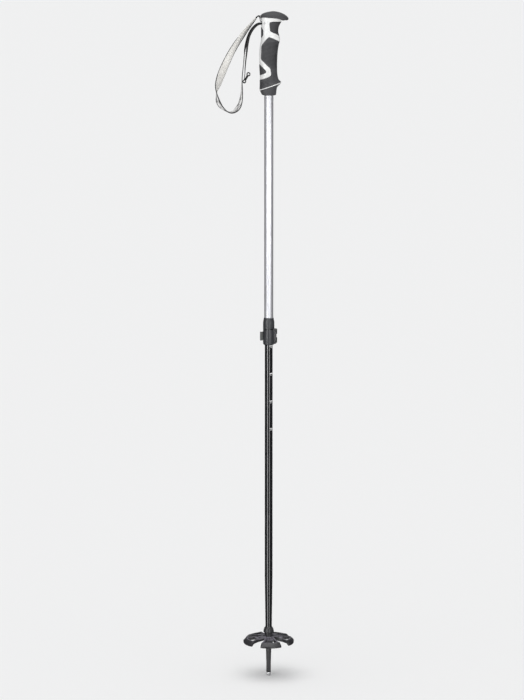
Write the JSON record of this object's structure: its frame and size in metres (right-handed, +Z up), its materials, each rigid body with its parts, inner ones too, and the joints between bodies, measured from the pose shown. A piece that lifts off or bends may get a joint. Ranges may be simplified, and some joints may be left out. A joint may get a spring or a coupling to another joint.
{
  "type": "telescopic ski pole",
  "caption": "Two-section telescopic ski pole with a moulded grip, adjustable wrist strap, lever clamp and open-petal snow basket.",
  "frame": {"origin": "middle of the tip's flat end face, on the axis of the shafts", "axes": "+Z up the shafts towards the grip, +X towards the grip's nose and the clamp's ears, -X towards the wrist strap"},
  "size_m": [0.1404, 0.0915, 1.2],
  "materials": {
    "silver_tube": "satin anodised",
    "black_tube": "gloss black coat with a pale printed scale",
    "clamp_plastic": "fine moulded texture",
    "ferrule_plastic": "fine moulded texture",
    "basket_plastic": "fine moulded texture",
    "steel": "plain",
    "white_plastic": "satin",
    "grip_rubber": "soft touch",
    "webbing": "woven",
    "band_fabric": "woven, printed with plain dark strokes and black edges",
    "label_fabric": "woven"
  },
  "bodies": {
    "lower_pole": {"lower_shaft": "black_tube", "guide_plug": "clamp_plastic", "tip_ferrule": "ferrule_plastic", "tip_insert": "steel"},
    "basket": {"basket": "basket_plastic"},
    "upper_pole": {"upper_shaft": "silver_tube", "clamp_body": "clamp_plastic", "clamp_bushing": "clamp_plastic", "wear_plate": "steel", "nut_bar": "steel", "lever_pin": "steel", "grip_core": "white_plastic", "palm_panel": "grip_rubber", "thumb_panel": "grip_rubber", "rear_panel": "grip_rubber", "lower_rear_panel": "grip_rubber", "head_cap": "grip_rubber", "trim_ring": "white_plastic", "grip_skirt": "grip_rubber", "strap_pin": "steel", "strap_anchor_loop": "webbing", "strap_anchor_end": "webbing"},
    "clamp_lever": {"clamp_lever": "clamp_plastic"},
    "tension_screw": {"tension_screw": "steel"},
    "strap_wedge": {"strap_wedge": "clamp_plastic"},
    "wrist_strap": {"strap_band": "band_fabric", "strap_webbing": "webbing", "strap_tail": "webbing", "strap_keeper": "webbing", "strap_label": "label_fabric"}
  },
  "joints": [
    {"name": "length_slide", "type": "slide", "parent": "lower_pole", "child": "upper_pole", "axis": [0, 0, 1], "range_m": [-0.15, 0.2]},
    {"name": "basket_turn", "type": "hinge", "parent": "lower_pole", "child": "basket", "pos_m": [0, 0, 0.068], "axis": [0, 0, 1], "continuous": true},
    {"name": "lever_pivot", "type": "hinge", "parent": "upper_pole", "child": "clamp_lever", "pos_m": [0.0116, 0.01055, 0.6234], "axis": [0, 0, -1], "range_deg": [0, 150]},
    {"name": "screw_turn", "type": "hinge", "parent": "upper_pole", "child": "tension_screw", "pos_m": [0.0116, 0, 0.6234], "axis": [0, 1, 0], "continuous": true},
    {"name": "wedge_slide", "type": "slide", "parent": "upper_pole", "child": "strap_wedge", "axis": [-1, 0, 0], "range_m": [0, 0.0018]},
    {"name": "strap_swing", "type": "hinge", "parent": "upper_pole", "child": "wrist_strap", "pos_m": [-0.025, 0, 1.181], "axis": [0, 1, 0], "range_deg": [0, 80]}
  ]
}
